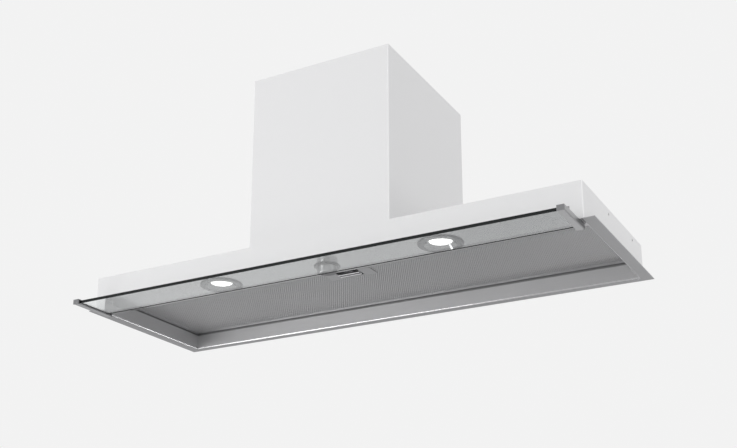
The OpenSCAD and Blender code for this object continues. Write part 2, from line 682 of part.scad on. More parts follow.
module lamp_body(s) color(bright) placed() lamp_place(s) translate([0, 0, lens_z + lens_t]) {
    rod_z(0, body_base, body_r);
    rod_z(body_base - fin_t / 2, body_l, body_r / 3);
    for (i = [0:fin_count - 1]) rotate(i * 360 / fin_count)
        block([body_r / 4, -fin_t / 2, body_base - fin_t / 2], [body_r - fin_t / 2, fin_t / 2, body_l]);
}
module lamp_body_left() lamp_body(-1);
module lamp_body_right() lamp_body(1);
module lamp_clips() color(bright) placed() both_sides() lamp_place(1) for (a = [0, 180]) rotate(a)
    translate([lamp_hole_r, spring_w / 2, 0]) rotate([90, 0, 0]) linear_extrude(spring_w) polygon([
        [-bezel_wall, bezel_up], [-gap, bezel_up], [spring_t, bezel_up + clip_rise],
        [clip_reach - clip_sole, sheet], [clip_reach, sheet], [clip_reach, sheet + spring_t],
        [clip_reach - clip_sole + spring_t, sheet + spring_t],
        [spring_t, bezel_up + clip_rise + 2 * spring_t], [-bezel_wall, bezel_up + spring_t]]);

// Supply unit for the lamps, on the plate midway between the left lamp and the canopy's end
driver_l = 88;
driver_w = 42;
driver_h = 24;
driver_r = 3;
driver_ear = 10;
driver_foot = 2;
vent_w = 3;
vent_d = 1.5;
driver_x = -(half_w + lamp_span / 2 + lamp_hole_r + clip_reach) / 2;
module lamp_driver() color(pale_plastic) placed() translate([driver_x, lamp_y, encoder_z]) difference() {
    union() {
        soft_block([-driver_l / 2, -driver_w / 2, 0], [driver_l / 2, driver_w / 2, driver_h], driver_r);
        soft_block([-driver_l / 2 - driver_ear, -driver_w / 4, 0],
            [driver_l / 2 + driver_ear, driver_w / 4, driver_foot], driver_r);
    }
    both_sides() translate([(driver_l + driver_ear) / 2, 0, 0]) rod_z(-cut, driver_foot + cut, screw_r);
    for (i = [-2:2]) translate([driver_l * 0.12 * i, -driver_w / 2, 0])
        block([-vent_w / 2, -cut, driver_h / 3], [vent_w / 2, vent_d, driver_h * 2 / 3]);
}

// Knob on a push-and-turn encoder
shaft_r = 3;
knob_z = plate_z - knob_push - gap - knob_h;
knob_top = knob_z + knob_h;
knob_wall = 3;
knob_face = 4;
knob_edge = 1;
knob_dish = 0.4;
boss_r = 5.5;
boss_top = knob_top - 1.7; // the boss ends this far below the knob's rim
ring_t = 1.4;
ring_gap = 0.6;
nut_r = 6.6;
nut_t = 1.6;
encoder_w = 14;
encoder_h = 9;
encoder_z = plate_z + sheet;
board_t = 1.6;
board_z = encoder_z + encoder_h;
plunger_r = 2;
plunger_out = 1;
shaft_in = 3;             // how far the knob's shaft ends below the board
shaft_top = board_z - shaft_in;
module at_knob() translate([0, knob_y, 0]) children();
module knob_ring() color(bright) placed() at_knob() rotate_extrude() polygon([
    [knob_d / 2 + ring_gap, plate_z], [knob_d / 2 + ring_gap, plate_z - ring_t],
    [ring_d / 2 - knob_edge, plate_z - ring_t], [ring_d / 2, plate_z - ring_t / 2], [ring_d / 2, plate_z]]);
module knob() color(bright) placed() at_knob() rotate_extrude() polygon([
    [0, knob_z + knob_dish], [knob_d / 2 - knob_wall, knob_z + knob_dish / 2],
    [knob_d / 2 - knob_edge, knob_z], [knob_d / 2, knob_z + knob_edge],
    [knob_d / 2, knob_top - knob_edge / 2],
    [knob_d / 2 - knob_edge / 2, knob_top], [knob_d / 2 - knob_wall, knob_top],
    [knob_d / 2 - knob_wall, knob_z + knob_face], [boss_r, knob_z + knob_face], [boss_r, boss_top],
    [shaft_r + fit, boss_top], [shaft_r + fit, knob_z + knob_face], [0, knob_z + knob_face]]);
module knob_shaft() color(steel) placed() at_knob() rod_z(knob_z + knob_face + fit, shaft_top, shaft_r);
module encoder_body() color(dark) placed() at_knob() difference() {
    union() {
        block([-encoder_w / 2, -encoder_w / 2, encoder_z], [encoder_w / 2, encoder_w / 2, board_z]);
        rod_z(plate_z - nut_t - fit, encoder_z + cut, knob_hole_r - fit);
    }
    rod_z(plate_z - 2 * nut_t, shaft_top + knob_push + gap, shaft_r + fit);
    rod_z(shaft_top, board_z + cut, plunger_r + fit);
}
module encoder_nut() color(bright) placed() at_knob() difference() {
    translate([0, 0, plate_z - nut_t]) cylinder(h = nut_t, r = nut_r, $fn = 6);
    rod_z(plate_z - 2 * nut_t, plate_z + cut, knob_hole_r);
}
module encoder_plunger() color(pale_plastic) placed() at_knob()
    rod_z(shaft_top + fit, board_z + board_t + plunger_out, plunger_r);

board_l = 120;
board_w = 44;
spacer_r = 3;
spacer_in = 5;
relay = [20, 14, 9];
can_size = [3, 8];        // radius and height of a small capacitor
plug = [28, 9, 3];
module board_corners() at_knob() for (sx = [-1, 1], sy = [-1, 1])
    translate([sx * (board_l / 2 - spacer_in), sy * (board_w / 2 - spacer_in), 0]) children();
module control_board() color([0.16, 0.36, 0.22]) placed() at_knob() difference() {
    union() {
        block([-board_l / 2, -board_w / 2, board_z], [board_l / 2, board_w / 2, board_z + board_t]);
        translate([0, 0, board_z + board_t]) {
            both_sides() translate([board_l / 3, 0, 0]) {
                block([-relay[0] / 2, -relay[1] / 2, -fit], [relay[0] / 2, relay[1] / 2, relay[2]]);
                translate([relay[1], 0, 0]) rod_z(-fit, can_size[1], can_size[0]);
            }
            block([-plug[0] / 2, board_w / 2 - 3 * plug[2] / 2 - plug[1], -fit],
                [plug[0] / 2, board_w / 2 - 3 * plug[2] / 2, plug[2]]);
        }
    }
    rod_z(board_z - cut, board_z + board_t + cut, plunger_r + 4 * fit);
}
module board_spacers() color(pale_plastic) placed() board_corners() rod_z(encoder_z, board_z, spacer_r);

// Glass visor on two grooved bars. It is drawn pulled out.
bar_top = -0.4;           // top of the bars, just under the flange
bar_in = 2.5;             // from the cavity's wall to a bar
bar_skin = 1.1;           // bar above the glass
bar_bite = 1.8;           // how far the glass stands in the bar's groove
bar_nose = 3;             // how far the bar stands out in front of the glass
bar_tail = 7;             // how far it goes on behind the glass
bar_edge = 1;
bar_x1 = cav_x - bar_in;
bar_x0 = bar_x1 - bar_w;
glass_z = bar_top - bar_skin - glass_t;
glass_x = bar_x0 + bar_bite;
glass_y0 = -visor_out;
glass_y1 = glass_y0 + glass_d;
glass_r = 0.6;
bar_y0 = glass_y0 - bar_nose;
bar_y1 = glass_y1 + bar_tail;
cap_t = 2;
slot_in = 7;              // from the bar's inner side to the middle of the guide slot
slot_x = bar_x0 + slot_in;
neck_w = 3;
neck_h = 2;
tee_w = 5.4;
tee_h = 2.6;
module visor_glass() color([0.75, 0.80, 0.80, 0.35]) placed()
    soft_block([-glass_x, glass_y0, glass_z], [glass_x, glass_y1, glass_z + glass_t], glass_r);
module visor_bar() placed() difference() {
    block([bar_x0, bar_y0, bar_top - bar_h], [bar_x1, bar_y1, bar_top]);
    block([bar_x0 - cut, bar_y0 - cut, glass_z - fit],
        [glass_x + gap, bar_y1 + cut, glass_z + glass_t + fit]);
    translate([slot_x, 0, bar_top]) {
        block([-neck_w / 2, bar_y0 - cut, -neck_h - cut], [neck_w / 2, bar_y1 + cut, cut]);
        block([-tee_w / 2, bar_y0 - cut, -neck_h - tee_h], [tee_w / 2, bar_y1 + cut, -neck_h]);
    }
    translate([bar_x1, 0, bar_top - bar_h]) rotate([0, 45, 0])
        block([-bar_edge, -2 * glass_d, -bar_edge], [bar_edge, 2 * glass_d, bar_edge]);
}
module visor_bar_right() color(bright) visor_bar();
module visor_bar_left() color(bright) mirror([1, 0, 0]) visor_bar();
module bar_caps() color(dark) placed() both_sides() {
    block([bar_x0, bar_y0 - cap_t, bar_top - bar_h], [bar_x1, bar_y0, bar_top]);
    block([bar_x0, bar_y1, bar_top - bar_h], [bar_x1, bar_y1 + cap_t, bar_top]);
}

// Plastic shoes in the feet of the posts, each with a tee that runs in a bar's slot.
shoe_h = 5;
shoe_r = 1;
module guide_shoes() color(dark) placed() both_sides() {
    y0 = 2 * sheet + gap / 3;
    y1 = post_d - sheet - gap / 3;
    soft_block([post_x + sheet + gap / 3, y0, 0], [cav_x - sheet - gap / 3, y1, shoe_h], shoe_r);
    translate([slot_x, 0, bar_top - neck_h]) {
        block([-neck_w / 2 + gap, y0, -gap - fit], [neck_w / 2 - gap, y1, neck_h - bar_top + fit]);
        block([-tee_w / 2 + gap, y0, -tee_h + gap], [tee_w / 2 - gap, y1, -gap]);
    }
}

// Grease filter: a folded rim, a perforated skin, a folded mesh and a backing sheet
front_gap = 1;            // between lamp plate and filter
filter_x = cav_x - filter_gap;
filter_y0 = plate_d + front_gap;
filter_y1 = cav_y - filter_gap;
filter_top = filter_z + filter_t;
rim_t = 0.8;
rim_lip = 3.5;
hinge_z = filter_z + filter_t / 2;
hinge_y = filter_y1 - filter_t / 2;
pin_r = 2;
pin_seat = 8;
pin_out = 1;
skin_z = filter_z + rim_t;
skin_t = 0.6;
latch_in = 11;            // from the filter's front to the latch plate
latch_y0 = filter_y0 + latch_in;
latch_l = 36;
latch_w = 84;
window_x = 20.5;
window_in = 4;
window_l = 26.5;
window_y0 = latch_y0 + window_in;
window_y1 = window_y0 + window_l;
channel_x = 23;
channel_l = 46.5;
channel_y1 = latch_y0 + channel_l;
channel_t = 1;
slider_z = skin_z + skin_t + gap;
module filter_frame() color(steel) placed() difference() {
    union() {
        block([-filter_x, filter_y0, filter_z], [filter_x, hinge_y, filter_top]);
        translate([0, hinge_y, hinge_z]) rod_x(-filter_x, filter_x, filter_t / 2);
    }
    block([-filter_x + rim_t, filter_y0 + rim_t, skin_z], [filter_x - rim_t, hinge_y, filter_top - rim_t]);
    block([-filter_x + rim_lip, filter_y0 + rim_lip, filter_z - cut],
        [filter_x - rim_lip, hinge_y - rim_lip / 2, filter_top + cut]);
    block([-tongue_w / 2 - gap, filter_y0 - cut, tongue_z - gap],
        [tongue_w / 2 + gap, filter_y0 + rim_lip, tongue_z + tongue_t + gap]);
    both_sides() translate([0, hinge_y, hinge_z]) rod_x(filter_x - pin_seat, filter_x + cut, pin_r + fit);
}
module filter_sheet(z0, t) block([-filter_x + rim_t + gap, filter_y0 + rim_t + gap, z0],
    [filter_x - rim_t - gap, hinge_y - gap, z0 + t]);
module filter_skin() color([0.45, 0.46, 0.47]) placed() difference() {
    filter_sheet(skin_z, skin_t);
    block([-window_x, window_y0, skin_z - cut], [window_x, window_y1, skin_z + skin_t + cut]);
}

// Sheet folded to and fro along the filter's depth.
mesh_gap = 0.1;           // between the folds and the sheets round them
fold_t = 0.5;
fold_z0 = skin_z + skin_t + mesh_gap;
fold_z1 = filter_top - rim_t - skin_t - mesh_gap;
fold_y0 = filter_y0 + rim_t + gap;
fold_y1 = hinge_y - pin_r - gap;
folds = floor((fold_y1 - fold_y0) / fold_pitch * 2);
function fold_point(i, up) = [fold_y0 + (fold_y1 - fold_y0) * i / folds,
    (i % 2 == 0 ? fold_z0 : fold_z1 - fold_t) + up];
module filter_mesh() color([0.55, 0.56, 0.57]) placed() difference() {
    half_l = filter_x - rim_t - gap;
    translate([-half_l, 0, 0]) along_x() linear_extrude(2 * half_l) polygon([
        for (i = [0:folds]) fold_point(i, 0),
        for (i = [folds:-1:0]) fold_point(i, fold_t)]);
    block([-channel_x - channel_t, filter_y0, filter_z],
        [channel_x + channel_t, channel_y1 + channel_t, filter_top]);
}
module filter_backing() color([0.55, 0.56, 0.57]) placed() difference() {
    cols = 12;
    rows = 3;
    w = (2 * filter_x - 4 * rim_lip) / cols;
    d = (hinge_y - filter_y0 - 4 * rim_lip) / rows;
    filter_sheet(filter_top - rim_t - skin_t, skin_t);
    for (i = [0:cols - 1], j = [0:rows - 1])
        translate([-filter_x + 2 * rim_lip + i * w, filter_y0 + 2 * rim_lip + j * d, filter_z])
            block([rim_lip, rim_lip, 0], [w - rim_lip, d - rim_lip, filter_t]);
}
module filter_pins() color(bright) placed() both_sides() translate([0, hinge_y, hinge_z])
    rod_x(filter_x - pin_seat, cav_x + sheet + pin_out, pin_r);

// Latch of the filter: a sprung slider with two finger bars
bar_t = 2.5;
grip_x = 19.5;
grip_drop = 2;
slide_back = 6;
slide_play = 1;
slider_h = 4.6;
slider_l = 11.5;
slider_y1 = window_y1 - slide_back - slide_play;
slider_y0 = slider_y1 - slider_l;
tongue_bite = 4;          // how far the tongue reaches past the lamp plate's rear wall
spring_r = 2;
spring_seat = 2;
wire_r = 0.3;
module latch_plate() color(steel) placed() difference() {
    block([-latch_w / 2, latch_y0, filter_z], [latch_w / 2, latch_y0 + latch_l, skin_z]);
    block([-window_x, window_y0, filter_z - cut], [window_x, window_y1, skin_z + cut]);
}
module latch_channel() color(steel) placed() {
    z0 = skin_z + skin_t;
    z1 = fold_z1;
    inner_x = channel_x - channel_t;
    difference() {
        block([-channel_x, latch_y0, z0], [channel_x, channel_y1, z1]);
        block([-inner_x, latch_y0 - cut, z0 - cut], [inner_x, channel_y1 - channel_t, z1 - channel_t]);
        block([-channel_x / 2, latch_y0 - cut, z0], [channel_x / 2, latch_y0 + channel_t, z1 + cut]);
    }
}
module latch_slider() color(bright) placed() difference() {
    union() {
        block([-window_x + gap, slider_y0, slider_z], [window_x - gap, slider_y1, slider_z + slider_h]);
        block([-tongue_w / 2, plate_d - tongue_bite, tongue_z],
            [tongue_w / 2, slider_y0 + cut, tongue_z + tongue_t]);
        for (y = [slider_y0, slider_y1 - bar_t]) translate([-grip_x, y, 0])
            block([0, 0, filter_z - grip_drop], [2 * grip_x, bar_t, slider_z + fit]);
    }
    translate([0, 0, slider_z + slider_h / 2])
        rod_y(slider_y1 - spring_seat, slider_y1 + cut, spring_r + wire_r + gap);
}

// Compression spring of the latch: one wire swept along a helix with flat ends.
spring_y0 = slider_y1 - spring_seat + fit;
spring_y1 = channel_y1 - channel_t - fit;
coils = 7;
ring_steps = 8;
wire_sides = 6;
function helix_point(i, k, n, run) = let (
    a = 360 * i / ring_steps,
    b = 360 * k / wire_sides,
    u = min(1, max(0, (i - ring_steps) / (n - 2 * ring_steps))),
    lift = wire_r * 2.2 * (min(i, ring_steps) - ring_steps + max(0, i - n + ring_steps)) / ring_steps,
    r = spring_r + wire_r * cos(b))
    [r * cos(a), wire_r * 3.2 + (run - wire_r * 4.4) * u + lift + wire_r * sin(b), r * sin(a)];
module latch_spring() color(bright) placed() {
    n = coils * ring_steps;
    run = spring_y1 - spring_y0 - 2 * wire_r;
    translate([0, spring_y0, slider_z + slider_h / 2]) polyhedron(
        points = [for (i = [0:n], k = [0:wire_sides - 1]) helix_point(i, k, n, run)],
        faces = [[for (k = [0:wire_sides - 1]) k],
            [for (k = [wire_sides - 1:-1:0]) n * wire_sides + k],
            for (i = [0:n - 1], k = [0:wire_sides - 1]) let (m = (k + 1) % wire_sides)
                each [[i * wire_sides + k, (i + 1) * wire_sides + k, (i + 1) * wire_sides + m],
                      [i * wire_sides + k, (i + 1) * wire_sides + m, i * wire_sides + m]]]);
}

canopy_shell();
trim_frame();
lamp_plate();
plate_screws();
motor_casing();
casing_lid();
casing_screws();
outlet_collar();
collar_screws();
damper_spindle();
damper_flap_front();
damper_flap_rear();
scroll_left();
scroll_right();
scroll_screws();
impeller();
motor_shaft();
motor_housing();
motor_bearings();
motor_bracket();
bracket_grommets();
bracket_screws();
capacitor();
capacitor_clip();
terminal_box();
terminal_lid();
terminal_strip();
cable_gland();
gland_nut();
lamp_bezel_left();
lamp_bezel_right();
lamp_lens_left();
lamp_lens_right();
lamp_body_left();
lamp_body_right();
lamp_clips();
lamp_driver();
knob_ring();
knob();
knob_shaft();
encoder_body();
encoder_nut();
encoder_plunger();
control_board();
board_spacers();
visor_glass();
visor_bar_left();
visor_bar_right();
bar_caps();
guide_shoes();
filter_frame();
filter_skin();
filter_mesh();
filter_backing();
filter_pins();
latch_plate();
latch_channel();
latch_slider();
latch_spring();
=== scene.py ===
import math
import bmesh
import bpy
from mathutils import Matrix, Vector


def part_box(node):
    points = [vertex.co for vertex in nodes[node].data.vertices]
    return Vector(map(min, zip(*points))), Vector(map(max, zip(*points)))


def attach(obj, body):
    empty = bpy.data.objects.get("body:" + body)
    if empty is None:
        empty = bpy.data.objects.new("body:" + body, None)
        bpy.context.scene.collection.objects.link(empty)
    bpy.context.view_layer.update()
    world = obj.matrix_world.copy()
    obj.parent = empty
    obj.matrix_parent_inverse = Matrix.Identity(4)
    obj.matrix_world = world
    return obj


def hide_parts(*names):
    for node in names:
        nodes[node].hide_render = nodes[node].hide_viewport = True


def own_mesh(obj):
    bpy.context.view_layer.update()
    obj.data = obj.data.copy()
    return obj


# Built-in range hood with a pulled-out glass visor, seen from below and to its right.
# Every length is in metres in the row frame: +X to the right, +Y to the rear and +Z up.
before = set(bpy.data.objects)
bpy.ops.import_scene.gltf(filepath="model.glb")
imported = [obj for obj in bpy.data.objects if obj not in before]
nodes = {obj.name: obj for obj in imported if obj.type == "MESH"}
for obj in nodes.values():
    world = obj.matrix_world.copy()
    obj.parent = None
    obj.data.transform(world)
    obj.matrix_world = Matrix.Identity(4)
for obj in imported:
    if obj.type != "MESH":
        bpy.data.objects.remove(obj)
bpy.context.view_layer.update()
MM = 0.001


# Camera: the photograph's viewpoint, below the hood and to its right.
# The lens is raised a little, as the photograph's upright edges ask for.
PHOTO_WIDTH = 737
SENSOR = 36
FOCAL_PIXELS = 1153.9
RISE_PIXELS = 90
CAMERA_PLACE = (0.8798, -1.7256, -0.6003)
CAMERA_UP = 17.439
CAMERA_TURN = 28.653
camera_data = bpy.data.cameras.new("camera")
camera_data.sensor_width = SENSOR
camera_data.lens = SENSOR * FOCAL_PIXELS / PHOTO_WIDTH
camera_data.shift_y = RISE_PIXELS / PHOTO_WIDTH
camera_data.dof.use_dof = False
camera = bpy.data.objects.new("camera", camera_data)
camera.location = CAMERA_PLACE
camera.rotation_euler = (math.radians(90 + CAMERA_UP), 0, math.radians(CAMERA_TURN))
bpy.context.scene.collection.objects.link(camera)
bpy.context.scene.camera = camera
bpy.context.scene.view_settings.view_transform = "Standard"


# Light: round studio lamps in a soft grey surround. The key lamp stands far in front and to the left.
# The low, rear and wide ones shine in the sheet metal from below and behind, and the small ones
# draw the bright lines on the folds, on the knob and on the upright edges.
def area_light(name, place, target, size, watts):
    """A disc lamp of that diameter, turned to its target."""
    data = bpy.data.lights.new(name, "AREA")
    data.shape = "DISK"
    data.size = size
    data.energy = watts
    lamp = bpy.data.objects.new(name, data)
    lamp.location = place
    lamp.rotation_euler = (Vector(target) - Vector(place)).to_track_quat("-Z", "Y").to_euler()
    bpy.context.scene.collection.objects.link(lamp)


area_light("key_light", place=(-2.8, -4.9, -0.9), target=(0, -0.1, 0.1), size=2.0, watts=82)
area_light("low_light", place=(-1.15, -0.6, -1.25), target=(-0.1, -0.1, 0), size=0.4, watts=2.6)
area_light("rear_light", place=(-1.9, 2.0, -1.0), target=(-0.1, -0.15, 0), size=1.1, watts=0.5)
area_light("wide_light", place=(-1.9, 2.0, -1.0), target=(-0.1, -0.15, 0), size=2.1, watts=1.2)
area_light("fold_light", place=(0.15, 1.35, -1.2), target=(-0.43, -0.15, 0), size=0.3, watts=2.2)
area_light("side_light", place=(2.3, -0.4, -0.3), target=(0, -0.25, 0), size=0.3, watts=2.5)
area_light("edge_light", place=(2.3, -1.2, 0.8), target=(0.1, -0.1, 0.1), size=0.6, watts=1.8)


# Surround: the grey light from all sides, and the paler backdrop that the camera sees,
# straight on, through the glass and mirrored in the metal.
SURROUND_COLOUR = (0.80, 0.80, 0.81, 1)
SURROUND_STRENGTH = 0.93
BACKDROP_COLOUR = (0.89, 0.89, 0.89, 1)
world = bpy.data.worlds.new("surround")
bpy.context.scene.world = world
world.use_nodes = True
world_nodes = world.node_tree.nodes
world_links = world.node_tree.links
world_nodes.clear()
surround = world_nodes.new("ShaderNodeBackground")
surround.inputs["Color"].default_value = SURROUND_COLOUR
surround.inputs["Strength"].default_value = SURROUND_STRENGTH
backdrop = world_nodes.new("ShaderNodeBackground")
backdrop.inputs["Color"].default_value = BACKDROP_COLOUR
rays = world_nodes.new("ShaderNodeLightPath")
mirrored = world_nodes.new("ShaderNodeMath")
mirrored.operation = "ADD"
world_links.new(rays.outputs["Is Glossy Ray"], mirrored.inputs[0])
world_links.new(rays.outputs["Is Transmission Ray"], mirrored.inputs[1])
seen = world_nodes.new("ShaderNodeMath")
seen.operation = "ADD"
seen.use_clamp = True
world_links.new(rays.outputs["Is Camera Ray"], seen.inputs[0])
world_links.new(mirrored.outputs[0], seen.inputs[1])
pick = world_nodes.new("ShaderNodeMixShader")
world_links.new(seen.outputs[0], pick.inputs[0])
world_links.new(surround.outputs[0], pick.inputs[1])
world_links.new(backdrop.outputs[0], pick.inputs[2])
world_links.new(pick.outputs[0], world_nodes.new("ShaderNodeOutputWorld").inputs["Surface"])


# Canopy: the low box above the flange, folded and welded from steel sheet and powder-coated grey.
# The coat has a fine orange-peel relief and a faint cloudiness. On the folds it is glossier, and painted
# paler there as a painted highlight.
PATCHES_TO_A_METRE = 9.0
RELIEF_DEPTH = 0.1 * MM
COAT_GRAIN = 1.2 * MM
SQUARE_ON = 0.99


def surface(name, colour, rough, metallic=0.0, grain=(1, 1, 1), spread=0.03, relief=0.0, uneven=0.05):
    """A material with a stretched noise in its colour, roughness and relief."""
    material = bpy.data.materials.new(name)
    material.use_nodes = True
    tree = material.node_tree
    shader = tree.nodes["Principled BSDF"]
    shader.inputs["Metallic"].default_value = metallic
    coords = tree.nodes.new("ShaderNodeTexCoord")
    stretch = tree.nodes.new("ShaderNodeMapping")
    stretch.inputs["Scale"].default_value = grain
    tree.links.new(coords.outputs["Object"], stretch.inputs["Vector"])
    noise = tree.nodes.new("ShaderNodeTexNoise")
    noise.inputs["Scale"].default_value = 1.0
    noise.inputs["Detail"].default_value = 3.0
    tree.links.new(stretch.outputs[0], noise.inputs["Vector"])
    tint = tree.nodes.new("ShaderNodeMix")
    tint.data_type = "RGBA"
    tint.inputs["A"].default_value = (*[c * (1 - spread) for c in colour], 1)
    tint.inputs["B"].default_value = (*[min(1, c * (1 + spread)) for c in colour], 1)
    tree.links.new(noise.outputs["Fac"], tint.inputs["Factor"])
    tree.links.new(tint.outputs["Result"], shader.inputs["Base Color"])
    clouds = tree.nodes.new("ShaderNodeTexNoise")
    clouds.inputs["Scale"].default_value = PATCHES_TO_A_METRE
    clouds.inputs["Detail"].default_value = 4.0
    tree.links.new(coords.outputs["Object"], clouds.inputs["Vector"])
    worn = tree.nodes.new("ShaderNodeMapRange")
    worn.inputs["To Min"].default_value = rough - uneven
    worn.inputs["To Max"].default_value = rough + uneven
    tree.links.new(clouds.outputs["Fac"], worn.inputs["Value"])
    tree.links.new(worn.outputs["Result"], shader.inputs["Roughness"])
    if relief:
        bump = tree.nodes.new("ShaderNodeBump")
        bump.inputs["Strength"].default_value = relief
        bump.inputs["Distance"].default_value = RELIEF_DEPTH
        tree.links.new(noise.outputs["Fac"], bump.inputs["Height"])
        tree.links.new(bump.outputs[0], shader.inputs["Normal"])
    return material


def dress(material, *names):
    """Gives CAD nodes a material."""
    for name in names:
        mesh = nodes[name].data
        if not mesh.materials:
            mesh.materials.append(material)
        for i in range(len(mesh.materials)):
            mesh.materials[i] = material


def fine(size):
    """Scale of a noise whose features are about that size, the same each way."""
    return (1 / size,) * 3


def finish_faces(material, chosen, *names):
    """Gives the faces of CAD nodes that the test chooses a second material."""
    for name in names:
        mesh = nodes[name].data
        mesh.materials.append(material)
        for face in mesh.polygons:
            if chosen(face):
                face.material_index = len(mesh.materials) - 1


def folded(face):
    """Whether a face belongs to the round of a fold: it is square to none of the three axes."""
    return max(abs(c) for c in face.normal) < SQUARE_ON


coat = surface("grey_coat", (0.80, 0.80, 0.80), 0.34, grain=fine(COAT_GRAIN), spread=0.015, relief=0.12)
# The fold coat is glossier than the coat, and its paler colour is a painted highlight.
glossy_fold_painted_highlight = surface("glossy_fold_painted_highlight", (0.95, 0.95, 0.95), 0.2, grain=fine(COAT_GRAIN), spread=0.01)
dress(coat, "canopy_shell")
finish_faces(glossy_fold_painted_highlight, folded, "canopy_shell")


# Floor: a plain floor of matt pale paint, far below the hood, where a kitchen's floor would be.
# It stands for the room and is no part of the hood.
FLOOR_Z = -1.6
FLOOR_HALF = 6.0
floor_plan = bmesh.new()
bmesh.ops.create_grid(floor_plan, x_segments=1, y_segments=1, size=FLOOR_HALF)
bmesh.ops.translate(floor_plan, verts=floor_plan.verts, vec=(0, 0, FLOOR_Z))
floor_mesh = bpy.data.meshes.new("floor")
floor_plan.to_mesh(floor_mesh)
floor_plan.free()
floor_paint = surface("floor_paint", (0.84, 0.84, 0.84), 0.7, grain=fine(40 * MM), spread=0.01)
floor_mesh.materials.append(floor_paint)
floor = bpy.data.objects.new("floor", floor_mesh)
bpy.context.scene.collection.objects.link(floor)


# Motor casing: the tall box that holds the blower, with its lid, folded from sheet in the same coat.
# Its foot is screwed to the canopy, and the lid to the casing's upper flange.
dress(coat, "motor_casing", "casing_lid")
# The casing's folds get the same painted highlight: a paler, glossier coat.
finish_faces(glossy_fold_painted_highlight, folded, "motor_casing")


# Flange: one frame of satin steel sheet with the cavity's walls and the two front corner posts.
# It is brushed along its length and folded, and it closes the cabinet's bottom from below.
# Its folds are burnished, and painted shade darkens the tops of the walls where the filter meets them.
# The colour, depth and share of the painted shade along the tops of the walls.
PAINTED_SHADE_COLOUR = (0.01, 0.01, 0.01, 1)
PAINTED_SHADE_DEPTH = 3 * MM
PAINTED_SHADE_SHARE = 0.6


def brushed(name, colour, rough, along=80 * MM, across=0.35 * MM, axis=0, spread=0.07, metallic=1.0):
    """Metal with the long fine streaks of a brush that was drawn along an axis."""
    grain = [1 / across] * 3
    grain[axis] = 1 / along
    return surface(name, colour, rough, metallic, grain=grain, spread=spread, relief=0.10, uneven=0.06)


def dark_end(material, axis, start, end, share):
    """Darkens a material by a share, more and more from start to end along an axis, as painted shade."""
    tree = material.node_tree
    colour = tree.nodes["Principled BSDF"].inputs["Base Color"]
    parts = tree.nodes.new("ShaderNodeSeparateXYZ")
    tree.links.new(tree.nodes["Texture Coordinate"].outputs["Object"], parts.inputs[0])
    ramp = tree.nodes.new("ShaderNodeMapRange")
    ramp.inputs["From Min"].default_value = start
    ramp.inputs["From Max"].default_value = end
    ramp.inputs["To Max"].default_value = share
    tree.links.new(parts.outputs[axis], ramp.inputs["Value"])
    blend = tree.nodes.new("ShaderNodeMix")
    blend.data_type = "RGBA"
    blend.inputs["B"].default_value = PAINTED_SHADE_COLOUR
    tree.links.new(ramp.outputs["Result"], blend.inputs["Factor"])
    tree.links.new(colour.links[0].from_socket, blend.inputs["A"])
    tree.links.new(blend.outputs["Result"], colour)


def faces_down(face):
    return face.normal.z < -SQUARE_ON


steel_sheet = brushed("brushed_sheet", (0.52, 0.52, 0.525), 0.42, metallic=0.6)
filter_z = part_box("filter_frame")[0][2]
# Painted shade: the walls darken towards the filter's underside.
dark_end(steel_sheet, "Z", filter_z - PAINTED_SHADE_DEPTH, filter_z - PAINTED_SHADE_DEPTH / 2, PAINTED_SHADE_SHARE)
dress(steel_sheet, "trim_frame")
# The downward faces get a darker copy of the same brushed steel, as painted shade.
painted_shade_underside = brushed("brushed_underside_painted_shade", (0.26, 0.26, 0.265), 0.42, metallic=0.6)
burnished = surface("burnished_fold", (0.5, 0.5, 0.505), 0.16, 1.0, grain=fine(2 * MM))
finish_faces(painted_shade_underside, faces_down, "trim_frame")
finish_faces(burnished, folded, "trim_frame")


# Lamp plate: a strip of steel sheet behind the visor that carries the lamps and the knob.
# It is brushed so finely that they are mirrored in it, and it is screwed to tabs on the cavity's walls.
# Its rear edge is turned up, and painted shade darkens the plate there.
SHADE_DEPTH = 2 * MM
SHADE_SHARE = 0.8
plate_metal = brushed("fine_sheet", (0.44, 0.44, 0.445), 0.2, across=0.2 * MM, spread=0.04, metallic=0.9)
plate_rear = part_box("lamp_plate")[1][1]
# Painted shade: the plate darkens towards its rear edge.
dark_end(plate_metal, "Y", plate_rear - SHADE_DEPTH, plate_rear - SHADE_DEPTH / 2, SHADE_SHARE)
dress(plate_metal, "lamp_plate")


# Lamp bezels: rings turned from steel, with a satin face and a polished funnel to the lens.
# Each is pushed into the plate from below.
FUNNEL_STEEP = -0.5
FUNNEL_FLAT = -0.68
turned = surface("turned_steel", (0.14, 0.14, 0.145), 0.36, 1.0, grain=fine(0.5 * MM), spread=0.05)
dress(turned, "lamp_bezel_left", "lamp_bezel_right")
funnel = surface("polished_funnel", (0.36, 0.36, 0.365), 0.14, 1.0, grain=fine(2 * MM), uneven=0.03)
finish_faces(funnel, lambda face: FUNNEL_FLAT < face.normal.z < FUNNEL_STEEP,
             "lamp_bezel_left", "lamp_bezel_right")


# Lamp lenses: discs of frosted plastic at the end of the funnels, held by the bezels.
# The light behind them reaches their middle, and leaves a frosted rim unlit.
LENS_GRAIN = 0.6 * MM
LIT_R = 17.5 * MM


def glowing(name, colour, strength):
    """A frosted material that gives a warm white light."""
    material = surface(name, colour, 0.35, grain=fine(LENS_GRAIN), spread=0.02)
    shader = material.node_tree.nodes["Principled BSDF"]
    shader.inputs["Emission Color"].default_value = (1.0, 0.99, 0.97, 1)
    shader.inputs["Emission Strength"].default_value = strength
    return material


frosted = surface("frosted_rim", (0.42, 0.42, 0.42), 0.4, grain=fine(LENS_GRAIN), spread=0.05)
dress(glowing("lit_lens", (0.95, 0.95, 0.93), 1.6), "lamp_lens_left", "lamp_lens_right")
for name in ("lamp_lens_left", "lamp_lens_right"):
    middle = sum((Vector(v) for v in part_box(name)), Vector()) / 2
    finish_faces(frosted, lambda face: (face.center - middle).xy.length > LIT_R, name)


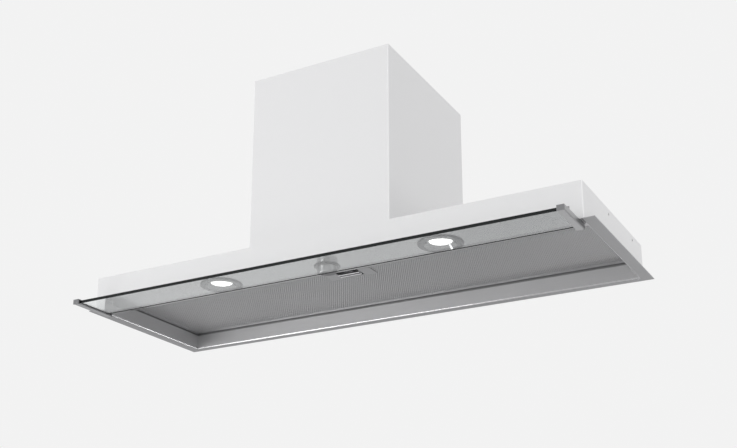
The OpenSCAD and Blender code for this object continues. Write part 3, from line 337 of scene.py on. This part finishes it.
# Lamp bodies: cast aluminium with fins that cool the lamps, on the bezels' backs.
# Their clips are bent from spring steel and press on the plate.
cast = surface("cast_aluminium", (0.60, 0.60, 0.61), 0.5, 0.9, grain=fine(0.8 * MM),
               spread=0.08, relief=0.2)
spring_steel = surface("spring_steel", (0.55, 0.55, 0.56), 0.3, 1.0, grain=fine(2 * MM), spread=0.05)
dress(cast, "lamp_body_left", "lamp_body_right")
dress(spring_steel, "lamp_clips")


# Lamp driver: the lamps' power supply, in a pale moulded box with vent slots.
# It stands on the plate on two ears.
pale_moulding = surface("pale_moulding", (0.66, 0.67, 0.68), 0.5, grain=fine(0.5 * MM), relief=0.2)
dress(pale_moulding, "lamp_driver")


# Knob: turned from aluminium, with fine grooves round it that draw the light out into upright streaks.
# The ring round it is turned too, and its sides are painted near-black as painted shade of the gap round
# it. Their flat ends are satin.
GROOVES = 0.4 * MM
knob_metal = surface("knob_metal", (0.42, 0.42, 0.425), 0.3, 1.0, grain=fine(GROOVES), spread=0.04)
knob_shader = knob_metal.node_tree.nodes["Principled BSDF"]
knob_shader.inputs["Anisotropic"].default_value = 0.85
knob_shader.inputs["Anisotropic Rotation"].default_value = 0.25
# The ring's near-black sides are painted shade, and its flat end gets the satin steel below.
ring_painted_shade = surface("ring_painted_shade", (0.03, 0.03, 0.032), 0.35, 1.0, grain=fine(GROOVES), spread=0.06)
dress(knob_metal, "knob")
dress(ring_painted_shade, "knob_ring")
finish_faces(turned, faces_down, "knob", "knob_ring")


# Encoder: the switch behind the knob. A steel shaft turns and presses a pale plunger
# in a dark moulded body, which a steel nut holds on the plate.
dark_moulding = surface("dark_moulding", (0.035, 0.035, 0.04), 0.42, grain=fine(0.5 * MM), spread=0.1)
bright_steel = surface("bright_steel", (0.66, 0.66, 0.67), 0.25, 1.0, grain=fine(1.0 * MM), spread=0.05)
dress(dark_moulding, "encoder_body")
dress(bright_steel, "encoder_nut", "knob_shaft")
dress(pale_moulding, "encoder_plunger")


# Control board: glass-fibre laminate under green solder resist, behind the encoder.
# It stands on moulded spacers.
resist = surface("solder_resist", (0.02, 0.16, 0.06), 0.25, grain=fine(3 * MM), spread=0.25)
dress(resist, "control_board")
dress(pale_moulding, "board_spacers")


# Glass visor: a clear pane that catches the vapour, held in the grooves of its two side bars.
# It takes the place of the plain one. Its edge faces are ground and its arrises matt, and both are
# painted near-black as painted shade;
# the rear arris is ground away further below.
ARRIS = 1.1 * MM
REAR_GRIND = 4 * MM
GROUND_SHINE = 0.15
CLEAR, EDGE, BEVEL = range(3)


def glass(name, colour, rough):
    """Clear glass that lets the lamps' light through to what lies behind it."""
    material = bpy.data.materials.new(name)
    material.use_nodes = True
    tree = material.node_tree
    shader = tree.nodes["Principled BSDF"]
    shader.inputs["Base Color"].default_value = (*colour, 1)
    shader.inputs["Roughness"].default_value = rough
    shader.inputs["IOR"].default_value = 1.5
    shader.inputs["Transmission Weight"].default_value = 1.0
    clear = tree.nodes.new("ShaderNodeBsdfTransparent")
    rays = tree.nodes.new("ShaderNodeLightPath")
    mix = tree.nodes.new("ShaderNodeMixShader")
    tree.links.new(rays.outputs["Is Shadow Ray"], mix.inputs[0])
    tree.links.new(shader.outputs[0], mix.inputs[1])
    tree.links.new(clear.outputs[0], mix.inputs[2])
    tree.links.new(mix.outputs[0], tree.nodes["Material Output"].inputs["Surface"])
    return material


pane_low, pane_high = (Vector(v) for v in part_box("visor_glass"))
pane_mesh = bmesh.new()
bmesh.ops.create_cube(pane_mesh, size=1.0)
for vert in pane_mesh.verts:
    for i in range(3):
        vert.co[i] = pane_high[i] if vert.co[i] > 0 else pane_low[i]
bmesh.ops.bevel(pane_mesh, geom=pane_mesh.edges[:], offset=ARRIS, segments=2, profile=0.5,
                affect="EDGES", material=-1)
for face in pane_mesh.faces:
    level = abs(face.normal.z)
    face.material_index = CLEAR if level > SQUARE_ON else EDGE if level < 1 - SQUARE_ON else BEVEL
for vert in pane_mesh.verts:
    if vert.co.z < pane_low.z + 0.1 * ARRIS and vert.co.y > pane_high.y - 1.5 * ARRIS:
        vert.co.y -= REAR_GRIND
pane_data = bpy.data.meshes.new("glass_pane")
pane_mesh.to_mesh(pane_data)
pane_mesh.free()
pane_data.materials.append(glass("clear_pane", (0.86, 0.88, 0.875), 0.0))
# The edge faces and arrises are ground, and painted near-black as painted shade of the pane's edges.
for name, colour, rough in (("glass_edge_painted_shade", (0.012, 0.014, 0.014), 0.4),
                            ("glass_arris_painted_shade", (0.02, 0.022, 0.022), 0.7)):
    ground_edge_shade = surface(name, colour, rough, grain=fine(1 * MM), spread=0.2)
    ground_edge_shade.node_tree.nodes["Principled BSDF"].inputs["Specular IOR Level"].default_value = GROUND_SHINE
    pane_data.materials.append(ground_edge_shade)
pane = bpy.data.objects.new("glass_pane", pane_data)
bpy.context.scene.collection.objects.link(pane)
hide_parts("visor_glass")
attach(pane, "visor")


# Side bars of the visor: drawn from aluminium, with a groove for the glass and a slot for the shoes.
# They are brushed along and anodised, and moulded caps close their ends.
bar_metal = brushed("anodised_bar", (0.36, 0.36, 0.365), 0.36, axis=1, spread=0.05)
dress(bar_metal, "visor_bar_left", "visor_bar_right")
cap_moulding = surface("cap_moulding", (0.20, 0.20, 0.205), 0.45, grain=fine(0.5 * MM), spread=0.08)
dress(cap_moulding, "bar_caps")


# Guide shoes: grey moulded blocks pushed into the feet of the corner posts.
# A tee on each runs in a bar's slot and carries the visor.
dress(cap_moulding, "guide_shoes")


# Filter frame: the rim round the grease filter's cassette, folded from brushed steel sheet.
# It turns on two pins at its rear.
rim_metal = brushed("rim_steel", (0.48, 0.48, 0.485), 0.3)
dress(rim_metal, "filter_frame")


# Filter skin: steel sheet punched with staggered holes, which takes the place of the plain one.
# Each hole lies in a cell of its own, and the cells of neighbouring rows are shifted by half a cell.
# The sheet is made in a front and a rear part that meet between two rows, open over the latch's travel.
HOLE_PITCH = 4.0 * MM
HOLE_R = 1.15 * MM
HOLE_SIDES = 6
FIRST_CORNER = 210
SKIN_MARGIN = 5 * MM
LATCH_TRAVEL = 6 * MM
ROW_PITCH = HOLE_PITCH * math.sin(math.radians(60))
skin_low, skin_high = (Vector(v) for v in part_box("filter_skin"))
plate_low, plate_high = (Vector(v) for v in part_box("latch_plate"))
slider_low, slider_high = (Vector(v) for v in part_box("latch_slider"))
slider_high.y += LATCH_TRAVEL
hole_cols = int((skin_high.x - skin_low.x - 2 * SKIN_MARGIN) / HOLE_PITCH)
hole_rows = int((skin_high.y - skin_low.y - 2 * SKIN_MARGIN) / ROW_PITCH)


def over(x, y, low, high, rim):
    """Whether a point lies over a box, or within the rim round it, as seen from below."""
    return low.x - rim < x < high.x + rim and low.y - rim < y < high.y + rim


def perforated(name, first, last):
    """Rows of the sheet: its underside and the walls of its holes."""
    left = (skin_low.x + skin_high.x - hole_cols * HOLE_PITCH) / 2
    right = left + hole_cols * HOLE_PITCH
    front = (skin_low.y + skin_high.y - hole_rows * ROW_PITCH) / 2
    points, index, faces = [], {}, []

    def at(x, y, z=skin_low.z):
        key = (round(x / MM, 3), round(y / MM, 3), round(z / MM, 3))
        if key not in index:
            index[key] = len(points)
            points.append((x, y, z))
        return index[key]

    for row in range(first, last):
        shifted = row % 2
        y = front + row * ROW_PITCH
        y2 = y + ROW_PITCH
        for col in range(hole_cols - shifted):
            x = left + (col + shifted / 2) * HOLE_PITCH
            x2 = x + HOLE_PITCH
            mid_x, mid_y = (x + x2) / 2, (y + y2) / 2
            if over(mid_x, mid_y, slider_low, slider_high, HOLE_PITCH):
                continue
            rim = [at(x, y), at(mid_x, y), at(x2, y), at(x2, y2), at(mid_x, y2), at(x, y2)]
            if over(mid_x, mid_y, plate_low, plate_high, 0):
                faces.append(rim[::-1])
                continue
            turns = [math.radians(FIRST_CORNER + 360 / HOLE_SIDES * k) for k in range(HOLE_SIDES)]
            edge = [(mid_x + HOLE_R * math.cos(a), mid_y + HOLE_R * math.sin(a)) for a in turns]
            lower = [at(*corner) for corner in edge]
            upper = [at(*corner, skin_high.z) for corner in edge]
            for k in range(HOLE_SIDES):
                m = (k + 1) % HOLE_SIDES
                faces.append([rim[m], rim[k], lower[k], lower[m]])
                faces.append([lower[m], lower[k], upper[k], upper[m]])
        if shifted:
            for x in (left, right - HOLE_PITCH / 2):
                x2 = x + HOLE_PITCH / 2
                faces.append([at(x, y), at(x, y2), at(x2, y2), at(x2, y)])
    near, far = front + first * ROW_PITCH, front + last * ROW_PITCH
    across = [left + k * HOLE_PITCH / 2 for k in range(2 * hole_cols + 1)]
    levels = [front + k * ROW_PITCH for k in range(first, last + 1)]
    if first == 0:
        near = skin_low.y
        row_edge = [at(x, levels[0]) for x in across]
        faces.append([at(skin_low.x, near)] + row_edge + [at(skin_high.x, near)])
    if last == hole_rows:
        far = skin_high.y
        row_edge = [at(x, levels[-1]) for x in across[::-1]]
        faces.append([at(skin_high.x, far)] + row_edge + [at(skin_low.x, far)])
    faces.append([at(skin_low.x, far)] + [at(left, y) for y in levels[::-1]] + [at(skin_low.x, near)])
    faces.append([at(skin_high.x, near)] + [at(right, y) for y in levels] + [at(skin_high.x, far)])
    mesh = bpy.data.meshes.new(name)
    mesh.from_pydata(points, [], faces)
    piece = bpy.data.objects.new(name, mesh)
    bpy.context.scene.collection.objects.link(piece)
    return piece


skin_metal = brushed("perforated_sheet", (0.36, 0.36, 0.365), 0.42, metallic=0.6)
half_rows = hole_rows // 2
for name, first, last in (("perforated_front", 0, half_rows), ("perforated_rear", half_rows, hole_rows)):
    skin = perforated(name, first, last)
    skin.data.materials.append(skin_metal)
    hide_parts("filter_skin")
    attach(skin, "filter")


# Filter mesh: a fine metal mesh folded to and fro, which holds the grease back.
# The backing above it is a sheet with large windows. The frame's rim clasps both.
MESH_OPENING = 1.2 * MM
mesh_metal = surface("mesh_metal", (0.30, 0.30, 0.31), 0.5, 1.0, grain=fine(MESH_OPENING),
                     spread=0.5, relief=0.6)
dress(mesh_metal, "filter_mesh", "filter_backing")


# Filter latch: a plain steel plate with a window, and behind it a channel and a sprung steel slider.
# A finger draws the slider back by its two pale bars, and its dark tongue leaves the lamp plate.
# The spring gets a mesh of its own. The rear bar's front wall is shaded by the front one.
BLOCK_LENGTH = 12 * MM
REAR_TO_BARS_MIDDLE = 7 * MM
latch_sheet = brushed("latch_sheet", (0.29, 0.29, 0.295), 0.42, metallic=0.6)
finger_steel = surface("finger_steel", (0.92, 0.92, 0.93), 0.3, 1.0, grain=fine(1 * MM), spread=0.03)
oxide = surface("oxide_steel", (0.05, 0.05, 0.055), 0.35, 0.8, grain=fine(1 * MM), spread=0.1)
dress(latch_sheet, "latch_plate")
dress(dark_moulding, "latch_channel")
dress(finger_steel, "latch_slider")
slider_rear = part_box("latch_slider")[1][1]


def on_the_tongue(face):
    return face.center.y < slider_rear - BLOCK_LENGTH


def behind_front_bar(face):
    """Whether a face is the front wall of the rear finger bar."""
    return face.normal.y < -SQUARE_ON and face.center.y > slider_rear - REAR_TO_BARS_MIDDLE


finish_faces(oxide, on_the_tongue, "latch_slider")
finish_faces(latch_sheet, behind_front_bar, "latch_slider")
dress(oxide, "latch_spring")
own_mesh(nodes["latch_spring"])


# Hinge pins of the filter: ground steel, pressed into the rear corners of its frame.
# They turn in the cavity's side walls.
dress(bright_steel, "filter_pins")


# Screws: pan heads with a cross recess, of zinc-plated steel.
# They go through the sheets, lugs and ears that they hold.
dress(bright_steel, "plate_screws", "casing_screws", "collar_screws", "scroll_screws", "bracket_screws")


# Outlet collar: a dark moulded ring for the duct, screwed to the casing's lid.
# Two half-round flaps close it against back draught. They turn on a steel spindle across it.
dress(dark_moulding, "outlet_collar", "damper_flap_front", "damper_flap_rear")
dress(bright_steel, "damper_spindle")


# Scroll housing: two pale moulded halves with an inlet at each side, screwed together at their lugs.
# It leads the air from the blower wheel up to the collar.
dress(pale_moulding, "scroll_left", "scroll_right")


# Blower wheel: one dark moulding with forward-curved blades on both sides of its middle disc.
# It is pressed on the motor's shaft.
dress(dark_moulding, "impeller")


# Motor: a cast can with a steel shaft in two bearings.
# Its bracket of steel sheet is screwed to the scroll housing through rubber grommets.
rubber = surface("rubber", (0.02, 0.02, 0.02), 0.7, grain=fine(0.6 * MM), spread=0.2)
dress(cast, "motor_housing")
dress(bright_steel, "motor_shaft", "motor_bearings")
dress(steel_sheet, "motor_bracket")
dress(rubber, "bracket_grommets")


# Capacitor: an aluminium can with two tabs, for the motor.
# A clip of spring steel holds it on the casing's wall.
dress(bright_steel, "capacitor")
dress(spring_steel, "capacitor_clip")


# Terminal box: a dark moulded box and its lid on the casing's wall, with a pale terminal strip inside.
# The moulded gland for the mains lead goes through the casing's lid, and its nut holds it from below.
dress(dark_moulding, "terminal_box", "terminal_lid", "cable_gland", "gland_nut")
dress(pale_moulding, "terminal_strip")
